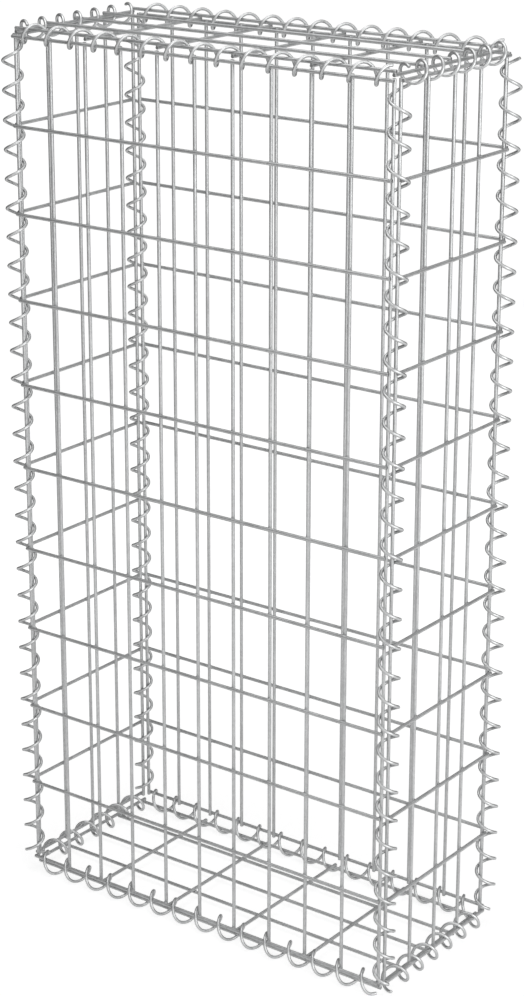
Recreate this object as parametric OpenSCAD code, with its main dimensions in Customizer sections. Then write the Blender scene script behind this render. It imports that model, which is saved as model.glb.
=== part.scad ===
// Empty welded-mesh gabion basket: six mesh panels laced along their twelve edges with spiral binders.
// Front faces -Y, +Z is up, and the origin is under the middle of the basket, at the level it stands on.

/* [Basket] */
// Length of the basket between the end uprights of its front
basket_l = 500; // [400:10:600]
// Width of the basket between the end uprights of a side
basket_w = 200; // [160:5:240]
// Height of the basket between its bottom and top level wires
basket_h = 1000; // [800:10:1200]

/* [Mesh] */
// Openings across the front and back panels
bays_x = 10; // [4:2:14]
// Openings across the side panels
bays_y = 4; // [2:1:6]
// Openings up the four walls
bays_z = 10; // [3:1:12]
// Front openings for each opening between the cross wires of the lid and base
cross_every = 2; // [1:1:2]

/* [Wire] */
// Thickness of the panel wires
wire_d = 4; // [3:0.1:5]
// Depth that two crossing wires sink into each other at a weld
weld_set = 0.2; // [0.1:0.05:0.4]
// Flat sides of a panel wire
wire_sides = 8; // [4:4:12]

/* [Corners] */
// From the front uprights back to the first upright of a side panel
corner_y = 6.65; // [6:0.05:7.5]
// From the end uprights of the front out to the uprights of a side panel
corner_x = 3.6; // [3:0.1:4.5]
// From the top level wire up to the cross wires of the lid
lid_rise = 4; // [3.5:0.1:4.5]
// From the bottom level wire down to the cross wires of the base
base_fall = 7.1; // [6.8:0.1:7.3]
// Sideways step of the lid, which takes its cross wires past the front uprights
lid_step = 3.8; // [3.5:0.1:4.5]
// Sideways step of the base, which takes its cross wires past the turns of its long spirals
base_step = 2.3; // [2.2:0.1:4.5]

/* [Spirals] */
// Thickness of the spiral wire
coil_wire_d = 3.6; // [3:0.1:4]
// Gap between a spiral and the two edge wires it ties
coil_gap = 0.28; // [0.2:0.02:0.5]
// Distance from a corner wire to the cut end of an upright or long spiral
end_gap = 4; // [3:0.5:8]
// Distance from the end wire of a side panel to the cut end of a short spiral
short_end_gap = 4; // [3:0.5:8]
// Length of the collar at the end of a quarter turn, which joins it to the next
collar_l = 0.3; // [0.2:0.05:0.5]
// Thickness of that collar
collar_t = 0.06; // [0.05:0.01:0.1]
// Direction of an upright spiral where it passes a level wire, from the side panel
upright_phase = 160; // [156:1:168]
// Direction of a long spiral where it passes a corner upright, from level
long_phase = 33; // [26:1:36]
// Direction of a short spiral at the middle of its edge, from upright
short_phase = 8; // [4:1:12]

/* [Hidden] */

// From the wires of one layer of a mesh to those of the other
layer = wire_d - weld_set;
// Half sizes between the edge wires of the panels
half_x = basket_l / 2;
half_y = basket_w / 2;
// Spacings of the wires: uprights in the front, uprights in a side, level wires, cross wires in the lid
mesh_x = basket_l / bays_x;
mesh_y = basket_w / bays_y;
mesh_z = basket_h / bays_z;
bays_cross = bays_x / cross_every;
mesh_cross = basket_l / bays_cross;

// A long spiral ties a level wire to the outer long wire of the lid or base, half way between the two
front_y = half_y + corner_y;
tie_y = corner_y + layer;
long_y = half_y + tie_y / 2;

// Height of its axis over the level wire, distance of both wires from the axis, and radius of its turns, for
// cross wires that lie so far over the level wire
function lace_z(rise) = (rise + layer) / 2;
function seat(rise) = norm([tie_y / 2, lace_z(rise)]);
function coil_r(rise) = seat(rise) + wire_d / 2 + coil_gap + coil_wire_d / 2;

// A short spiral keeps that height and radius, and seats on the level wire of the side panel
side_x = half_x + corner_x;
short_x = side_x + layer - tie_y / 2;

// An upright spiral is as wide as those of the lid, and seats on the end uprights of a front and a side panel
upright_r = coil_r(lid_rise);
edge_span = norm([corner_x, corner_y]);
edge_out = sqrt(pow(seat(lid_rise), 2) - pow(edge_span / 2, 2));
upright_x = half_x + corner_x / 2 + edge_out * corner_y / edge_span;
upright_y = half_y + corner_y / 2 + edge_out * corner_x / edge_span;

// The basket stands on its four bottom spirals
bottom_z = coil_r(base_fall) + coil_wire_d / 2 + lace_z(base_fall);
top_z = bottom_z + basket_h;

// Turns of an upright spiral for each opening up a wall, of a long spiral for each opening between the
// cross wires, and of a short spiral for each run of side openings: so every turn clears the wires it passes
turns_per_row = 3;
turns_per_cross = 3;
turns_per_run = 5;
bays_per_run = 3;
upright_pitch = mesh_z / turns_per_row;
long_pitch = mesh_cross / turns_per_cross;
short_pitch = bays_per_run * mesh_y / turns_per_run;

// At the joint of two quarter turns the arcs stop short, a collar reaches past, and a sleeve covers it
joint_gap = collar_l / 4;
collar_lap = 0.4 * collar_l;
collar_d = coil_wire_d + 2 * collar_t;
sleeve_l = 1.6 * collar_l;
sleeve_d = collar_d + 2 * collar_t;

zinc = "gainsboro";
bright_zinc = "silver";
round_fn = 24;

// One straight wire along +Z, with flats towards the wires that cross it
module wire(length) {
    rotate(180 / wire_sides)
        cylinder(h = length, d = wire_d / cos(180 / wire_sides), $fn = wire_sides);
}

// A welded mesh lying flat: columns along +Y, rows along +X one layer higher, edge wires flush
module mesh(columns, column_step, rows, row_step) {
    width = (columns - 1) * column_step;
    height = (rows - 1) * row_step;
    union() {
        for (i = [0 : columns - 1])
            translate([i * column_step - width / 2, -wire_d / 2, 0])
                rotate([-90, 0, 0])
                    wire(height + wire_d);
        for (j = [0 : rows - 1])
            translate([-width / 2 - wire_d / 2, j * row_step, layer])
                rotate([0, 90, 0])
                    wire(width + wire_d);
    }
}

// A wall panel standing on edge with its level wires on the -Y side
module wall_panel(bays, step) {
    color(zinc)
        rotate([90, 0, 0])
            mesh(bays + 1, step, bays_z + 1, mesh_z);
}

// A lid lying with its long wires on top, above the cross wires
module flat_panel(step) {
    color(zinc)
        translate([-step, -half_y, 0])
            mesh(bays_cross + 1, mesh_cross, bays_y + 1, mesh_y);
}

// A quarter turn of spiral wire is one round arc in a tilted plane. The tilt lifts it a quarter pitch,
// and the arc's radius and centre make each quarter leave in the direction that the next one enters.
// A thin collar at its far end slides into the thin sleeve of the next quarter, so that all are one wire.
module quarter_turn(turn_r, pitch, hand) {
    reach = turn_r / sqrt(2);
    tilt = atan(pitch / 8 / reach);
    half_angle = atan(cos(tilt));
    arc_r = reach / (sin(half_angle) * cos(tilt));
    centre = reach - arc_r * cos(half_angle);
    inset = collar_l / arc_r * 180 / PI;
    trim = joint_gap / arc_r * 180 / PI;
    translate([0, 0, pitch / 8])
        rotate([hand * tilt, 0, 0])
            translate([centre, 0, 0]) {
                rotate(trim - half_angle)
                    rotate_extrude(angle = 2 * (half_angle - trim), $fn = round_fn)
                        translate([arc_r, 0])
                            circle(d = coil_wire_d, $fn = round_fn);
                rotate(half_angle - inset)
                    translate([arc_r, 0, 0])
                        rotate([-90, 0, 0])
                            cylinder(h = collar_l + collar_lap, d = collar_d, $fn = round_fn);
                rotate(inset - half_angle)
                    translate([arc_r, 0, 0])
                        rotate([90, 0, 0])
                            cylinder(h = sleeve_l, d = sleeve_d, $fn = round_fn);
            }
}

// Whole quarter turns that fit in a length
function quarters(room, pitch) = floor(4 * room / pitch);

// A spiral along +Z from the origin, cut square after a whole number of quarter turns
module spiral(turn_r, count, pitch, phase, hand) {
    color(bright_zinc)
        rotate(phase)
            union()
                for (k = [0 : count - 1])
                    translate([0, 0, k * pitch / 4])
                        rotate(hand * (k * 90 + 45))
                            quarter_turn(turn_r, pitch, hand);
}

// An upright spiral at the left winds right-handed, and its twin at the right is its mirror image
module upright_spiral(y) {
    count = quarters(basket_h - 2 * end_gap, upright_pitch);
    start_phase = upright_phase + 360 * end_gap / upright_pitch;
    translate([-upright_x, y, bottom_z + end_gap])
        spiral(upright_r, count, upright_pitch, start_phase, 1);
}

// A long spiral at the top winds left-handed, and its twin at the bottom is its mirror image
module long_spiral(y, rise) {
    count = quarters(2 * (half_x - end_gap), long_pitch);
    start_phase = long_phase - 360 * end_gap / long_pitch;
    translate([end_gap - half_x, y, top_z + lace_z(rise)])
        rotate([90, 0, 90])
            spiral(coil_r(rise), count, long_pitch, start_phase, -1);
}

// A short spiral at the top left winds left-handed, and half a turn of the basket gives the right one
module short_spiral(rise) {
    count = quarters(2 * (half_y - short_end_gap), short_pitch);
    start_phase = short_phase + 45 * count;
    translate([-short_x, -count * short_pitch / 8, top_z + lace_z(rise)])
        rotate([0, -90, -90])
            spiral(coil_r(rise), count, short_pitch, start_phase, -1);
}

// A piece made for the top of the basket, turned over to its foot
module at_foot() {
    translate([0, 0, bottom_z + top_z])
        mirror([0, 0, 1])
            children();
}

module front_panel() {
    translate([0, -front_y, bottom_z])
        wall_panel(bays_x, mesh_x);
}

module back_panel() {
    rotate(180)
        front_panel();
}

module left_panel() {
    translate([-side_x, 0, bottom_z])
        rotate(-90)
            wall_panel(bays_y, mesh_y);
}

module right_panel() {
    rotate(180)
        left_panel();
}

module lid_panel() {
    translate([0, 0, top_z + lid_rise])
        flat_panel(lid_step);
}

module base_panel() {
    at_foot()
        translate([0, 0, top_z + base_fall])
            flat_panel(base_step);
}

module front_left_spiral() {
    upright_spiral(-upright_y);
}

module front_right_spiral() {
    mirror([1, 0, 0])
        front_left_spiral();
}

module back_left_spiral() {
    upright_spiral(upright_y);
}

module back_right_spiral() {
    mirror([1, 0, 0])
        back_left_spiral();
}

module top_front_spiral() {
    long_spiral(-long_y, lid_rise);
}

module top_back_spiral() {
    long_spiral(long_y, lid_rise);
}

module top_left_spiral() {
    short_spiral(lid_rise);
}

module top_right_spiral() {
    rotate(180)
        short_spiral(lid_rise);
}

module bottom_front_spiral() {
    at_foot()
        long_spiral(-long_y, base_fall);
}

module bottom_back_spiral() {
    at_foot()
        long_spiral(long_y, base_fall);
}

module bottom_left_spiral() {
    at_foot()
        short_spiral(base_fall);
}

module bottom_right_spiral() {
    at_foot()
        rotate(180)
            short_spiral(base_fall);
}

front_panel();
back_panel();
left_panel();
right_panel();
lid_panel();
base_panel();
front_left_spiral();
front_right_spiral();
back_left_spiral();
back_right_spiral();
top_front_spiral();
top_back_spiral();
top_left_spiral();
top_right_spiral();
bottom_front_spiral();
bottom_back_spiral();
bottom_left_spiral();
bottom_right_spiral();
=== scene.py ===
import bpy
import numpy as np
from mathutils import Matrix, Vector


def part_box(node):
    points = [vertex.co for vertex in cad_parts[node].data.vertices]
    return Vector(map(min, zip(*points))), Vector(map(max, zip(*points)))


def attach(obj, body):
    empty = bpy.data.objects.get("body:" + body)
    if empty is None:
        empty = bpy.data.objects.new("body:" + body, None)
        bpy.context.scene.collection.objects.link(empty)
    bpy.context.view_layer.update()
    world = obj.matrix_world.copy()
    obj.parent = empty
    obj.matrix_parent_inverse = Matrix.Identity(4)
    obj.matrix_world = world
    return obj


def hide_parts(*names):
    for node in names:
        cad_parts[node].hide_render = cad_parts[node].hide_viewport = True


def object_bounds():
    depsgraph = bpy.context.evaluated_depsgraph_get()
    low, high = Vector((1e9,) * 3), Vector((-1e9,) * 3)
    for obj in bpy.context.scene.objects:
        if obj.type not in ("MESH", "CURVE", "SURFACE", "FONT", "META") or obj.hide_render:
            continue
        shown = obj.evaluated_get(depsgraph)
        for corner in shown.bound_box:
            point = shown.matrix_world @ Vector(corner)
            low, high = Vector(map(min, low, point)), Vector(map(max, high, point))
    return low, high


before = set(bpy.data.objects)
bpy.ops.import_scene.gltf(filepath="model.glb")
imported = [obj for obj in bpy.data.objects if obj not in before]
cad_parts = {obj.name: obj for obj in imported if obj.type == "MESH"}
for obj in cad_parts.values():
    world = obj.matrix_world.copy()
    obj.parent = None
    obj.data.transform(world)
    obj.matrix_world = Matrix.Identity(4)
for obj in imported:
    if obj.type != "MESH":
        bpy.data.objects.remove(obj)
cad_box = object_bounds()


# FRONT AND BACK PANELS
# Two flat sheets of welded mesh with upright wires inside and level wires outside. The steel wire is drawn
# round and zinc-coated, welded at every crossing under pressure and trimmed flush with the edge wires.
# Panels and spirals are worked out in millimetres, and make_piece writes them in metres.
mm = 0.001


def node_box(node):
    """Lowest and highest corner of a CAD node, in millimetres."""
    return np.array(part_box(node)) / mm


wire_r = 2.0
wire_layer = 3.8
front_low, front_high = node_box("front_panel")
half_length = front_high[0] - wire_r
front_y = wire_r - front_high[1]
foot_z, head_z = front_low[2] + wire_r, front_high[2] - wire_r
front_uprights = 11
level_wires = 11
column_x = np.linspace(-half_length, half_length, front_uprights)
level_z = np.linspace(foot_z, head_z, level_wires)

weld_bulge = 0.16
weld_width = 2.4
heat_width = 2.0 * weld_width
end_round = 0.5
bare_end = 0.2
# Each wire's drawing lines begin this many radii further on than those of the wire before it.
lines_apart = 37.0
full_turn = 2.0 * np.pi
wire_sides = 16
rings_by_weld = np.array([-7.0, -4.2, -2.6, -1.3, 0.0, 1.3, 2.6, 4.2, 7.0])
rings_by_end = end_round * np.array([0.0, 0.2, 0.5, 1.0])


def end_drop(from_end):
    """How much the radius of a wire drops at a distance from its cut end: a quarter round of end_round."""
    return end_round - np.sqrt(end_round ** 2 - np.clip(end_round - from_end, 0.0, end_round) ** 2)


def laid_wires(first, step, count, run, toward, length, welds):
    """One layer of a mesh: equal wires laid side by side, each touching the other layer at the given welds.

    A point lies at first + wire number times step + s along run + r around, where r is the wire's radius,
    more by a bulge times sin^2 of the angle from toward and a bell curve of the distance to a weld, because
    the hot wire is squeezed out sideways there, and less in a quarter round at the two cut ends.
    """
    across = np.cross(run, toward)
    s = np.concatenate([(welds[:, None] + rings_by_weld).ravel(), rings_by_end, length - rings_by_end])
    s = np.unique(np.clip(s, 0.0, length).round(3))
    t = np.linspace(0.0, full_turn, wire_sides, endpoint=False)
    from_weld = np.abs(s[:, None] - welds).min(axis=1)
    from_end = np.minimum(s, length - s)
    bulge = weld_bulge * np.exp(-((from_weld / weld_width) ** 2))
    r = wire_r - end_drop(from_end)[:, None] + bulge[:, None] * np.sin(t) ** 2
    around = np.cos(t)[:, None] * toward + np.sin(t)[:, None] * across
    number = np.arange(count)[:, None, None, None]
    points = first + number * step + s[:, None, None] * run + r[..., None] * around
    own_stretch = s[:, None] / wire_r + lines_apart * number[..., 0]
    drawn = np.stack(np.broadcast_arrays(np.cos(t), np.sin(t), own_stretch), -1)
    heat = np.exp(-((from_weld / heat_width) ** 2))[:, None]
    cut = (from_end < bare_end)[:, None]
    return points, drawn, heat, cut


bead_r = 1.7
bead_lobe = 1.0
bead_rise = 1.1
bead_sides = 12
bead_tilts = np.pi * np.linspace(-0.42, 0.42, 5)


def weld_beads(centres, side_a, side_b):
    """The metal squeezed out between two crossing wires, as a thin cushion at each weld.

    Its edge is a circle with four lobes, bead_r + bead_lobe times sin^2 of twice the angle, which fill the
    corners of the crossing, and its height is that of a flattened ball. side_a and side_b are the directions
    of the two wires.
    """
    t = np.linspace(0.0, full_turn, bead_sides, endpoint=False)
    up = bead_tilts[:, None]
    edge = bead_r + bead_lobe * np.sin(2.0 * t) ** 2
    flat = (np.cos(up) * edge)[..., None] * (np.cos(t)[:, None] * side_a + np.sin(t)[:, None] * side_b)
    points = centres[:, None, None, :] + flat + bead_rise * np.sin(up)[..., None] * np.cross(side_a, side_b)
    drawn = np.stack(np.broadcast_arrays(np.cos(t), np.sin(t), 2.0 * up), -1)
    heat, cut = np.float64(1.0), np.float64(0.0)
    return points, drawn, heat, cut


def make_piece(name, node, groups, finish):
    """Joins groups of rings, each shaped tube x ring x side x 3, into closed tubes in one mesh, in metres.

    Neighbouring rings are joined by four-sided faces and each end ring is its own flat cap. What follows
    the wire goes with the points: drawn is (cos, sin of the angle, length in radii), and heat and cut
    are 1 at a weld and on a cut end.
    """
    spots, walls, caps, marks = [], [], [], []
    for points, drawn, heat, cut in groups:
        tubes, rings, sides = points.shape[:3]
        number = np.arange(tubes * rings * sides).reshape(tubes, rings, sides) + sum(map(len, spots))
        near, far = number[:, :-1], number[:, 1:]
        walls.append(np.stack([near, np.roll(near, -1, 2), np.roll(far, -1, 2), far], -1).reshape(-1, 4))
        caps.append(np.concatenate([number[:, 0, ::-1], number[:, -1]]))
        spots.append(points.reshape(-1, 3))
        along = (np.broadcast_to(drawn, points.shape), np.broadcast_to(heat, number.shape)[..., None],
                 np.broadcast_to(cut, number.shape)[..., None])
        marks.append(np.concatenate(along, -1).reshape(-1, 5))
    spots, marks = np.concatenate(spots) * mm, np.concatenate(marks).astype(np.float32)
    corners = np.concatenate([f.ravel() for f in walls + caps])
    sizes = np.concatenate([np.full(len(f), f.shape[1]) for f in walls + caps])
    mesh = bpy.data.meshes.new(name)
    mesh.vertices.add(len(spots))
    mesh.vertices.foreach_set("co", spots.ravel())
    mesh.loops.add(len(corners))
    mesh.loops.foreach_set("vertex_index", corners)
    mesh.polygons.add(len(sizes))
    mesh.polygons.foreach_set("loop_start", np.cumsum(sizes) - sizes)
    mesh.polygons.foreach_set("use_smooth", sizes == 4)
    mesh.attributes.new("drawn", "FLOAT_VECTOR", "POINT").data.foreach_set("vector", marks[:, :3].ravel())
    mesh.attributes.new("heat", "FLOAT", "POINT").data.foreach_set("value", marks[:, 3].copy())
    mesh.attributes.new("cut", "FLOAT", "POINT").data.foreach_set("value", marks[:, 4].copy())
    mesh.update(calc_edges=True)
    mesh.validate()
    mesh.materials.append(finish)
    piece = bpy.data.objects.new(name, mesh)
    bpy.context.scene.collection.objects.link(piece)
    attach(piece, "root")
    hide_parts(node)


def maths(tree, operation, a, b):
    """The sum, product or larger of a and b, each a plain number or the output of another node."""
    node = tree.nodes.new("ShaderNodeMath")
    node.operation = operation
    for socket, value in zip(node.inputs, (a, b)):
        if isinstance(value, float):
            socket.default_value = value
        else:
            tree.links.new(value, socket)
    return node.outputs["Value"]


def ranged(tree, value, span, ends):
    """The first of ends up to the start of span, the second from its stop, and in between in proportion."""
    node = tree.nodes.new("ShaderNodeMapRange")
    for key, number in zip(("From Min", "From Max", "To Min", "To Max"), (*span, *ends)):
        node.inputs[key].default_value = number
    tree.links.new(value, node.inputs["Value"])
    return node.outputs["Result"]


def noise(tree, vector, scale, detail):
    """Soft noise around a half, with scale patches to each unit of the vector."""
    node = tree.nodes.new("ShaderNodeTexNoise")
    node.inputs["Scale"].default_value = scale
    node.inputs["Detail"].default_value = detail
    tree.links.new(vector, node.inputs["Vector"])
    return node.outputs["Fac"]


crystal_scale = 420.0
line_scale = 2.0
line_stretch = (3.2, 3.2, 0.06)
cloud_scale = 34.0
grain_scale = 2600.0
line_height = 0.7
grain_height = 0.3
whole_span = (0.0, 1.0)
noise_span = (0.3, 0.7)


def zinc_skin_group():
    """The look that all the zinc shares: cloudy patches and fine crystals that read the object's own
    coordinates, and drawing lines that follow the wire. Welds dull it, and cut ends show darker steel."""
    group = bpy.data.node_groups.new("zinc_skin", "ShaderNodeTree")
    sockets = [("Zinc", "INPUT", "NodeSocketColor"), ("Drawn", "INPUT", "NodeSocketVector"),
               ("Heat", "INPUT", "NodeSocketFloat"), ("Cut", "INPUT", "NodeSocketFloat"),
               ("Shine", "INPUT", "NodeSocketFloat"), ("Colour", "OUTPUT", "NodeSocketColor"),
               ("Roughness", "OUTPUT", "NodeSocketFloat"), ("Height", "OUTPUT", "NodeSocketFloat")]
    for socket_name, way, kind in sockets:
        group.interface.new_socket(socket_name, in_out=way, socket_type=kind)
    nodes, link = group.nodes, group.links.new
    given, result = nodes.new("NodeGroupInput"), nodes.new("NodeGroupOutput")
    heat, cut = given.outputs["Heat"], given.outputs["Cut"]
    place = nodes.new("ShaderNodeTexCoord").outputs["Object"]

    voronoi = nodes.new("ShaderNodeTexVoronoi")
    voronoi.inputs["Scale"].default_value = crystal_scale
    link(place, voronoi.inputs["Vector"])
    parted = nodes.new("ShaderNodeSeparateColor")
    link(voronoi.outputs["Color"], parted.inputs["Color"])
    crystals = parted.outputs["Red"]
    stretched = nodes.new("ShaderNodeVectorMath")
    stretched.operation = "MULTIPLY"
    stretched.inputs[1].default_value = line_stretch
    link(given.outputs["Drawn"], stretched.inputs[0])
    lines = noise(group, stretched.outputs["Vector"], line_scale, detail=3.0)
    clouds = noise(group, place, cloud_scale, detail=3.0)
    grain = noise(group, place, grain_scale, detail=2.0)

    # Each effect multiplies the colour, from its first factor to its second.
    shade = 1.0
    for value, span, factors in ((crystals, whole_span, (0.93, 1.07)), (clouds, noise_span, (0.91, 1.09)),
                                 (lines, noise_span, (0.92, 1.06)), (heat, whole_span, (1.0, 0.84)),
                                 (cut, whole_span, (1.0, 0.62))):
        shade = maths(group, "MULTIPLY", shade, ranged(group, value, span, factors))
    tint = nodes.new("ShaderNodeVectorMath")
    tint.operation = "SCALE"
    link(given.outputs["Zinc"], tint.inputs[0])
    link(shade, tint.inputs["Scale"])
    link(tint.outputs["Vector"], result.inputs["Colour"])

    # Three of them also add to the roughness.
    rough = given.outputs["Shine"]
    for value, span, added in ((clouds, noise_span, (-0.05, 0.06)), (lines, noise_span, (0.04, -0.03)),
                               (heat, whole_span, (0.0, 0.12))):
        rough = maths(group, "ADD", rough, ranged(group, value, span, added))
    link(rough, result.inputs["Roughness"])
    height = maths(group, "ADD", maths(group, "MULTIPLY", lines, line_height),
                   maths(group, "MULTIPLY", grain, grain_height))
    link(height, result.inputs["Height"])
    return group


zinc_skin = zinc_skin_group()
metal_share = 0.6
edge_tint = (0.6, 0.6, 0.6, 1.0)
bump_strength = 0.35
bump_depth = 0.04 * mm


def zinc_finish(name, zinc, shine):
    """One zinc-coated wire: the shared skin over a partly metallic base, duller at grazing angles, with a
    faint bump of a hundredth of a millimetre. zinc is the colour and shine the roughness when clean."""
    finish = bpy.data.materials.new(name)
    finish.use_nodes = True
    nodes, link = finish.node_tree.nodes, finish.node_tree.links.new
    shader = nodes["Principled BSDF"]
    skin = nodes.new("ShaderNodeGroup")
    skin.node_tree = zinc_skin
    skin.inputs["Zinc"].default_value = (*zinc, 1.0)
    skin.inputs["Shine"].default_value = shine
    for attribute, output in (("drawn", "Vector"), ("heat", "Fac"), ("cut", "Fac")):
        follow = nodes.new("ShaderNodeAttribute")
        follow.attribute_name = attribute
        link(follow.outputs[output], skin.inputs[attribute.capitalize()])
    bump = nodes.new("ShaderNodeBump")
    bump.inputs["Strength"].default_value = bump_strength
    bump.inputs["Distance"].default_value = bump_depth
    link(skin.outputs["Height"], bump.inputs["Height"])
    link(bump.outputs["Normal"], shader.inputs["Normal"])
    link(skin.outputs["Colour"], shader.inputs["Base Color"])
    link(skin.outputs["Roughness"], shader.inputs["Roughness"])
    shader.inputs["Metallic"].default_value = metal_share
    shader.inputs["Specular Tint"].default_value = edge_tint
    return finish


mesh_zinc = zinc_finish("mesh_wire_zinc", zinc=(0.56, 0.567, 0.57), shine=0.34)
X, Y, Z = np.eye(3)


def standing_mesh(face, run, out, uprights):
    """A wall of mesh: upright wires at the given distances along run, on the plane that face touches,
    and level wires one layer further out. face is a point of that plane, at floor level."""
    low, high = uprights[0] - wire_r, uprights[-1] + wire_r
    tall, wide = head_z - foot_z + 2.0 * wire_r, high - low
    welds_up, welds_across = level_z - foot_z + wire_r, uprights - low
    upright = laid_wires(face + uprights[0] * run + (foot_z - wire_r) * Z, (uprights[1] - uprights[0]) * run,
                         len(uprights), Z, out, tall, welds_up)
    level = laid_wires(face + low * run + wire_layer * out + foot_z * Z, (level_z[1] - level_z[0]) * Z,
                       len(level_z), run, -out, wide, welds_across)
    spots = face + 0.5 * wire_layer * out + uprights[:, None, None] * run + level_z[:, None] * Z
    return [upright, level, weld_beads(spots.reshape(-1, 3), run, Z)]


make_piece("front_mesh", "front_panel", standing_mesh(-front_y * Y, X, -Y, column_x), mesh_zinc)
make_piece("back_mesh", "back_panel", standing_mesh(front_y * Y, -X, Y, column_x), mesh_zinc)


# SIDE PANELS
# Two narrower sheets of the same mesh close the ends, set just outside the end uprights of the front and
# back, so that a pair of wires stands at each corner for a spiral to tie.
side_low, side_high = node_box("right_panel")
side_x = side_low[0] + wire_r
half_width = side_high[1] - wire_r
side_uprights = 5
column_y = np.linspace(-half_width, half_width, side_uprights)
make_piece("left_mesh", "left_panel", standing_mesh(-side_x * X, -Y, -X, column_y), mesh_zinc)
make_piece("right_mesh", "right_panel", standing_mesh(side_x * X, Y, X, column_y), mesh_zinc)


# LID AND BASE
# Two flat sheets with long wires outside and cross wires inside, at every second upright. Both sit a little
# to the left, so that their cross wires pass beside the uprights of the front, and the base hangs further
# under the walls than the lid lies over them.
lid_z = node_box("lid_panel")[0, 2] + wire_r
base_z = node_box("base_panel")[1, 2] - wire_r
cross_wires = 6


def flat_mesh(node, level, out):
    """A lid or base: cross wires along Y on the plane at level, from one end of the node's box to the other,
    and long wires along X one layer out, in line with the uprights of the sides."""
    low, high = node_box(node)
    cross_x = np.linspace(low[0] + wire_r, high[0] - wire_r, cross_wires)
    deep = 2.0 * (half_width + wire_r)
    long = cross_x[-1] - cross_x[0] + 2.0 * wire_r
    cross = laid_wires(np.array([cross_x[0], -half_width - wire_r, level]), (cross_x[1] - cross_x[0]) * X,
                       len(cross_x), Y, out, deep, column_y + half_width + wire_r)
    lengthwise = laid_wires(np.array([cross_x[0] - wire_r, -half_width, level]) + wire_layer * out,
                            (column_y[1] - column_y[0]) * Y, len(column_y), X, -out, long,
                            cross_x - cross_x[0] + wire_r)
    spots = cross_x[:, None, None] * X + column_y[:, None] * Y + level * Z + 0.5 * wire_layer * out
    return [cross, lengthwise, weld_beads(spots.reshape(-1, 3), X, Y)]


make_piece("lid_mesh", "lid_panel", flat_mesh("lid_panel", lid_z, Z), mesh_zinc)
make_piece("base_mesh", "base_panel", flat_mesh("base_panel", base_z, -Z), mesh_zinc)


# UPRIGHT SPIRALS
# Spring wire a little thinner than the mesh wire, wound on a mandrel and zinc-coated, is screwed down each
# corner around the two end uprights. The ends are cut square and left open.
coil_wire_r = 1.8
coil_gap = 0.28
coil_sides = 14
rings_a_turn = 48
spiral_zinc = zinc_finish("spiral_wire_zinc", zinc=(0.60, 0.607, 0.61), shine=0.30)


def clear_turn(apart):
    """Radius of a spiral around two wires, apart from each other, that clears both by coil_gap."""
    return 0.5 * apart + wire_r + coil_gap + coil_wire_r


def wound_wire(turn_r, axis, right, up, along, start, pitch, turns, angle, hand):
    """A spiral: a round wire carried along a helix of radius turn_r about the line through axis.

    After u turns its middle is at axis + (start + pitch u) along + turn_r (cos a right + sin a up), with
    a = angle + hand 2 pi u. The round section stands square to the helix, between the direction away from
    the axis and the direction square to that, and its radius drops in a quarter round at the two cut ends.
    """
    per_turn = np.hypot(full_turn * turn_r, pitch)
    length = turns * per_turn
    even_rings = np.linspace(0.0, length, int(turns * rings_a_turn) + 1)
    s = np.unique(np.concatenate([even_rings, rings_by_end, length - rings_by_end]).round(4))
    u = s / per_turn
    a = (angle + hand * full_turn * u)[:, None]
    outward = np.cos(a) * right + np.sin(a) * up
    middle = axis + (start + pitch * u)[:, None] * along + turn_r * outward
    ahead = hand * full_turn * turn_r * (np.cos(a) * up - np.sin(a) * right) + pitch * along
    beside = np.cross(ahead / per_turn, outward)
    t = np.linspace(0.0, full_turn, coil_sides, endpoint=False)[:, None]
    from_end = np.minimum(s, length - s)
    around = np.cos(t) * outward[:, None, :] + np.sin(t) * beside[:, None, :]
    points = middle[:, None, :] + (coil_wire_r - end_drop(from_end))[:, None, None] * around
    drawn = np.stack(np.broadcast_arrays(np.cos(t[:, 0]), np.sin(t[:, 0]), s[:, None] / coil_wire_r), -1)
    heat, cut = np.float64(0.0), (from_end < bare_end)[:, None]
    return [(points[None], drawn, heat, cut)]


# These spirals are as wide as those of the lid, which go around wires lid_apart from each other. The end
# uprights of a front and a side are closer, so the axis stands further out than the point between them.
lace_across = front_y + wire_layer - half_width
lid_apart = np.hypot(lace_across, lid_z + wire_layer - head_z)
coil_r = clear_turn(lid_apart)
front_end, side_end = np.array([half_length, front_y]), np.array([side_x, half_width])
pair_x, pair_y = np.abs(side_end - front_end)
pair_apart = np.hypot(pair_x, pair_y)
outward_by = 0.5 * np.sqrt(lid_apart ** 2 - pair_apart ** 2)
corner_x, corner_y = 0.5 * (front_end + side_end) + outward_by * np.array([pair_y, pair_x]) / pair_apart
upright_pitch = 100.0 / 3.0
upright_turns = 29.75
end_gap = 4.0
foot_angle = np.radians(160.0)
corner_angle = foot_angle + full_turn * end_gap / upright_pitch
for side, mirror in (("left", -1.0), ("right", 1.0)):
    for face, y in (("front", -corner_y), ("back", corner_y)):
        coil = wound_wire(coil_r, np.array([mirror * corner_x, y, foot_z]), -mirror * X, Y, Z, end_gap,
                          upright_pitch, upright_turns, corner_angle, hand=1.0)
        make_piece(f"{face}_{side}_coil", f"{face}_{side}_spiral", coil, spiral_zinc)


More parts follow.
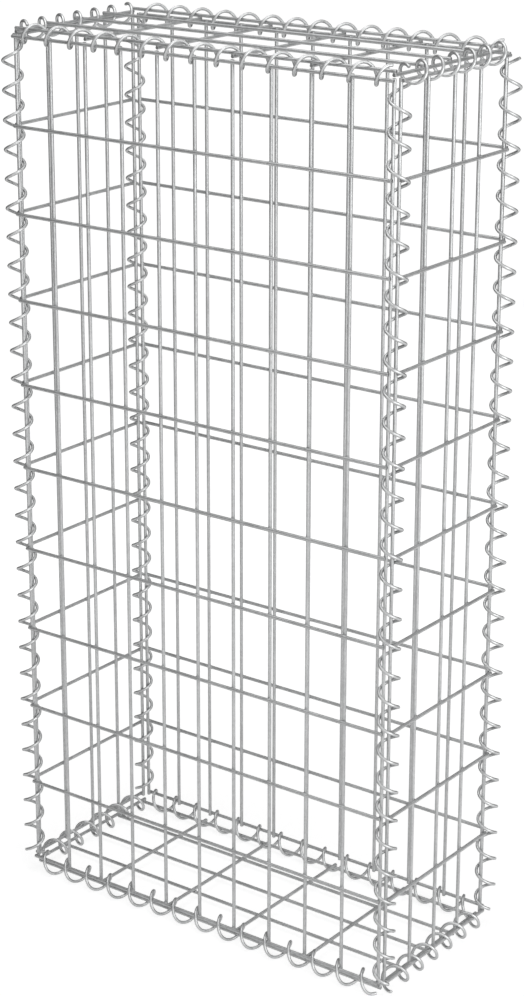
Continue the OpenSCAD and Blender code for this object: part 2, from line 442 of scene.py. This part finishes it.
# LONG SPIRALS
# Four more lie along the top and bottom edges of the front and back, each around a level wire and the outer
# long wire of the lid or base, which they lace together. Those at the bottom are wound wider, for the base
# hangs further off.
base_apart = np.hypot(lace_across, foot_z - base_z + wire_layer)
lace_y = half_width + 0.5 * lace_across
top_z = 0.5 * (head_z + lid_z + wire_layer)
bottom_z = 0.5 * (foot_z + base_z - wire_layer)
laced_edges = (("top", coil_r, top_z, Z), ("bottom", clear_turn(base_apart), bottom_z, -Z))
long_pitch = 100.0 / 3.0
long_turns = 14.75
left_angle = np.radians(33.0)
long_angle = left_angle - full_turn * end_gap / long_pitch
for level, turn_r, z, up in laced_edges:
    for face, y in (("front", -lace_y), ("back", lace_y)):
        coil = wound_wire(turn_r, np.array([-half_length, y, z]), Y, up, X, end_gap, long_pitch, long_turns,
                          long_angle, hand=-1.0)
        make_piece(f"{level}_{face}_coil", f"{level}_{face}_spiral", coil, spiral_zinc)


# SHORT SPIRALS
# The last four close the ends of the lid and base against the level wires of the side panels. They are wound
# from the same wire as the long ones, with their turns a little closer, and their ends too are left open.
short_x = side_x + wire_layer - 0.5 * lace_across
short_pitch = 30.0
short_turns = 6.25
short_start = -0.5 * short_turns * short_pitch
middle_angle = np.radians(8.0)
short_angle = middle_angle + 0.5 * full_turn * short_turns
for level, turn_r, z, up in laced_edges:
    for side, turn in (("left", 1.0), ("right", -1.0)):
        coil = wound_wire(turn_r, np.array([-turn * short_x, 0.0, z]), up, turn * X, turn * Y, short_start,
                          short_pitch, short_turns, short_angle, hand=-1.0)
        make_piece(f"{level}_{side}_coil", f"{level}_{side}_spiral", coil, spiral_zinc)


# FLOOR AND LIGHT
# A pale studio, in metres: a white floor that runs out to a white background, a broad soft lamp at the right
# of the basket and a weaker one above it, and a grey screen along the left and the back for the wire to
# reflect.
def seen_directly(tree):
    """1 for a ray from the camera, or one that metal or glass sends on, and 0 for a ray that only lights."""
    path = tree.nodes.new("ShaderNodeLightPath").outputs
    sent_on = maths(tree, "MAXIMUM", path["Is Glossy Ray"], path["Is Transmission Ray"])
    return maths(tree, "MAXIMUM", path["Is Camera Ray"], sent_on)


floor_drop = 0.0002
floor_z = cad_box[0][2] - floor_drop
reach = 30.0
floor_mesh = bpy.data.meshes.new("studio_floor")
floor_mesh.from_pydata([(x, y, floor_z) for x, y in ((-reach, -reach), (reach, -reach), (reach, reach),
                                                     (-reach, reach))], [], [(0, 1, 2, 3)])
floor = bpy.data.objects.new("studio_floor", floor_mesh)
bpy.context.scene.collection.objects.link(floor)
floor_paint = bpy.data.materials.new("floor_paint")
floor_paint.use_nodes = True
floor_tree = floor_paint.node_tree
paint = floor_tree.nodes["Principled BSDF"]
paint.inputs["Base Color"].default_value = (0.4, 0.4, 0.4, 1.0)
paint.inputs["Roughness"].default_value = 0.9
paint.inputs["Specular IOR Level"].default_value = 0.0
paint.inputs["Emission Color"].default_value = (1.0, 1.0, 1.0, 1.0)
# The white of the floor is a little weaker close to the basket, where its faint shadow then shows.
shadow_span = (0.3, 1.1)
floor_white = (0.82, 0.95)
from_basket = floor_tree.nodes.new("ShaderNodeVectorMath")
from_basket.operation = "LENGTH"
floor_tree.links.new(floor_tree.nodes.new("ShaderNodeTexCoord").outputs["Object"], from_basket.inputs[0])
glow = ranged(floor_tree, from_basket.outputs["Value"], shadow_span, floor_white)
white = maths(floor_tree, "MULTIPLY", seen_directly(floor_tree), glow)
floor_tree.links.new(white, paint.inputs["Emission Strength"])
floor_mesh.materials.append(floor_paint)

world = bpy.data.worlds.new("studio_white")
world.use_nodes = True
bpy.context.scene.world = world
sky_tree = world.node_tree
sky = sky_tree.nodes["Background"]
sky.inputs["Color"].default_value = (1.0, 1.0, 1.0, 1.0)
sky_ends = (0.25, 1.0)
sky_strength = ranged(sky_tree, seen_directly(sky_tree), whole_span, sky_ends)
sky_tree.links.new(sky_strength, sky.inputs["Strength"])

# The screen is two walls that meet at the back left, seen by the wires but not by the camera.
screen_top = 2.6
screen_foot = [(-1.5, -3.2), (-1.5, 2.6), (3.2, 2.6)]
screen_mesh = bpy.data.meshes.new("studio_screen")
screen_mesh.from_pydata([(x, y, z) for z in (0.0, screen_top) for x, y in screen_foot], [],
                        [(0, 1, 4, 3), (1, 2, 5, 4)])
screen = bpy.data.objects.new("studio_screen", screen_mesh)
screen.visible_camera = False
bpy.context.scene.collection.objects.link(screen)
screen_cloth = bpy.data.materials.new("screen_cloth")
screen_cloth.use_nodes = True
cloth = screen_cloth.node_tree.nodes["Principled BSDF"]
cloth.inputs["Base Color"].default_value = (0.36, 0.36, 0.36, 1.0)
cloth.inputs["Roughness"].default_value = 0.95
cloth.inputs["Specular IOR Level"].default_value = 0.0
screen_mesh.materials.append(screen_cloth)

basket_middle = Vector((0.0, 0.0, 0.52))
for lamp_name, spot, size, power in (("right_softbox", (3.0, -0.9, 1.0), 2.6, 54.0),
                                     ("top_softbox", (-0.2, -0.3, 3.2), 2.0, 25.0)):
    lamp = bpy.data.lights.new(lamp_name, "AREA")
    lamp.shape, lamp.size, lamp.energy = "SQUARE", size, power
    holder = bpy.data.objects.new(lamp_name, lamp)
    holder.location = spot
    holder.rotation_euler = (basket_middle - Vector(spot)).to_track_quat("-Z", "Y").to_euler()
    bpy.context.scene.collection.objects.link(holder)


# CAMERA
# From the right of the front, a little above the lid, with a long lens. The photograph's frame is 524 by 996
# and its optical axis lies left of and above the middle, which the shift gives.
frame_wide, frame_tall = 524.0, 996.0
axis_x, axis_y = 250.6, 420.35
focal_px = 2419.5
forward = Vector((-0.5724, 0.7641, -0.2974)).normalized()
sideways = Vector((0.8003, 0.5997, 0.0004))
sideways = (sideways - sideways.dot(forward) * forward).normalized()
upward = sideways.cross(forward)
lens = bpy.data.cameras.new("photo_camera")
lens.sensor_width = 36.0
lens.lens = lens.sensor_width * focal_px / frame_tall
lens.shift_x = (0.5 * frame_wide - axis_x) / frame_tall
lens.shift_y = (axis_y - 0.5 * frame_tall) / frame_tall
camera = bpy.data.objects.new("photo_camera", lens)
camera.matrix_world = Matrix((sideways, upward, -forward)).transposed().to_4x4()
camera.location = (1.5573, -2.08725, 1.40698)
bpy.context.scene.collection.objects.link(camera)
bpy.context.scene.camera = camera
bpy.context.scene.view_settings.view_transform = "Standard"
